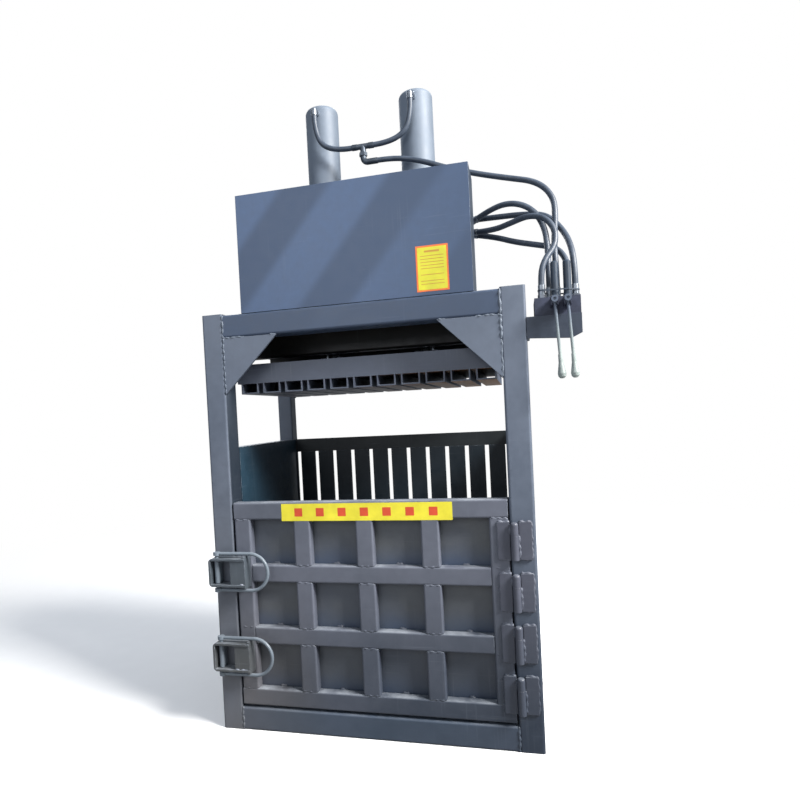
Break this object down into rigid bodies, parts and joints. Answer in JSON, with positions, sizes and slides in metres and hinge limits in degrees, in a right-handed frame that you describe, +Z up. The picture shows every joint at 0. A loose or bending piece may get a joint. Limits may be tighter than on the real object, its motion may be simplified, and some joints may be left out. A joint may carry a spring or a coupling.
{
  "type": "vertical recycling baler",
  "caption": "Twin-cylinder vertical waste baler: post-and-beam frame, slotted bale chamber under a ribbed platen, side-hinged grid door with ring latches, oil tank, hoses and hand valve.",
  "frame": {"origin": "on the floor, at the centre of the four posts' footprint, under the middle floor bearer", "axes": "+X to the right as seen from the door, +Y from the door to the back, +Z up"},
  "size_m": [1.3795, 0.834, 2.49],
  "materials": {
    "frame_paint": "semi-gloss slate blue enamel",
    "crown_paint": "semi-gloss slate blue enamel, oil-dulled",
    "chamber_steel": "slate enamel scuffed by bales",
    "door_paint": "semi-gloss slate grey enamel",
    "cylinder_paint": "gloss slate blue enamel",
    "plated_steel": "dull zinc plate",
    "platen_paint": "semi-gloss slate blue enamel",
    "rod_chrome": "ground hard chrome",
    "tank_paint": "gloss slate blue enamel",
    "fitting_plastic": "moulded black",
    "motor_paint": "satin enamel on castings",
    "pump_casting": "painted casting",
    "cap_black": "satin black",
    "hose_rubber": "cloth-marked black rubber",
    "latch_steel": "worn slate enamel on round bar",
    "lever_grey": "dull plated rod with pale moulded knob"
  },
  "bodies": {
    "frame": {"back_posts": "frame_paint", "back_wall_band": "chamber_steel", "back_wall_rails": "frame_paint", "back_wall_slats": "chamber_steel", "base_beams_rear": "frame_paint", "bell_housing": "motor_paint", "chamber_wall_left": "chamber_steel", "chamber_wall_right": "chamber_steel", "corner_gussets": "frame_paint", "crown_beams": "crown_paint", "crown_plate": "crown_paint", "cylinder_bolts": "plated_steel", "cylinder_glands": "cylinder_paint", "cylinder_left_barrel": "cylinder_paint", "cylinder_right_barrel": "cylinder_paint", "door_stops": "frame_paint", "floor_plate": "chamber_steel", "floor_ribs": "chamber_steel", "front_post_left": "frame_paint", "front_post_right": "frame_paint", "gear_pump": "pump_casting", "hinge_pins": "plated_steel", "hinge_post_leaves": "frame_paint", "hose_cap_left": "hose_rubber", "hose_cap_main": "hose_rubber", "hose_cap_right": "hose_rubber", "hose_fittings": "plated_steel", "hose_pressure": "hose_rubber", "hose_return": "hose_rubber", "hose_rod_left": "hose_rubber", "hose_rod_right": "hose_rubber", "hose_tee": "plated_steel", "latch_keepers": "frame_paint", "oil_tank": "tank_paint", "pump_motor": "motor_paint", "sill_beam": "frame_paint", "spool_caps": "cap_black", "steel_pipes": "plated_steel", "suction_pipe": "plated_steel", "tank_fittings": "fitting_plastic", "top_beam_front": "frame_paint", "top_beams_rear": "frame_paint", "valve_body": "pump_casting", "valve_bracket": "frame_paint", "wall_rails": "frame_paint"},
    "door": {"door_rails": "door_paint", "door_stiles": "door_paint", "door_uprights": "door_paint", "door_sheet": "door_paint", "hinge_door_leaves": "door_paint", "latch_straps": "door_paint"},
    "platen": {"platen_plates": "platen_paint", "platen_frame": "platen_paint", "platen_ribs": "platen_paint", "piston_rods": "rod_chrome", "rod_bolts": "plated_steel"},
    "latch_handle_low": {"latch_handle_low": "latch_steel"},
    "latch_handle_high": {"latch_handle_high": "latch_steel"},
    "valve_lever_left": {"valve_lever_left": "lever_grey"},
    "valve_lever_right": {"valve_lever_right": "lever_grey"}
  },
  "joints": [
    {"name": "platen_slide", "type": "slide", "parent": "frame", "child": "platen", "axis": [0, 0, -1], "range_m": [0, 0.75]},
    {"name": "door_hinge", "type": "hinge", "parent": "frame", "child": "door", "pos_m": [0.529, -0.404, 0], "axis": [0, 0, 1], "range_deg": [0, 110]},
    {"name": "latch_low_hinge", "type": "hinge", "parent": "door", "child": "latch_handle_low", "pos_m": [-0.574, -0.422, 0.297], "axis": [0, 0, -1], "range_deg": [0, 150]},
    {"name": "latch_high_hinge", "type": "hinge", "parent": "door", "child": "latch_handle_high", "pos_m": [-0.574, -0.422, 0.6175], "axis": [0, 0, -1], "range_deg": [0, 150]},
    {"name": "valve_lever_left_hinge", "type": "hinge", "parent": "frame", "child": "valve_lever_left", "pos_m": [0.69, -0.424, 1.528], "axis": [1, 0, 0], "range_deg": [-12, 12], "stiffness_Nm_per_rad": 5},
    {"name": "valve_lever_right_hinge", "type": "hinge", "parent": "frame", "child": "valve_lever_right", "pos_m": [0.731, -0.424, 1.528], "axis": [1, 0, 0], "range_deg": [-12, 12], "stiffness_Nm_per_rad": 5}
  ]
}
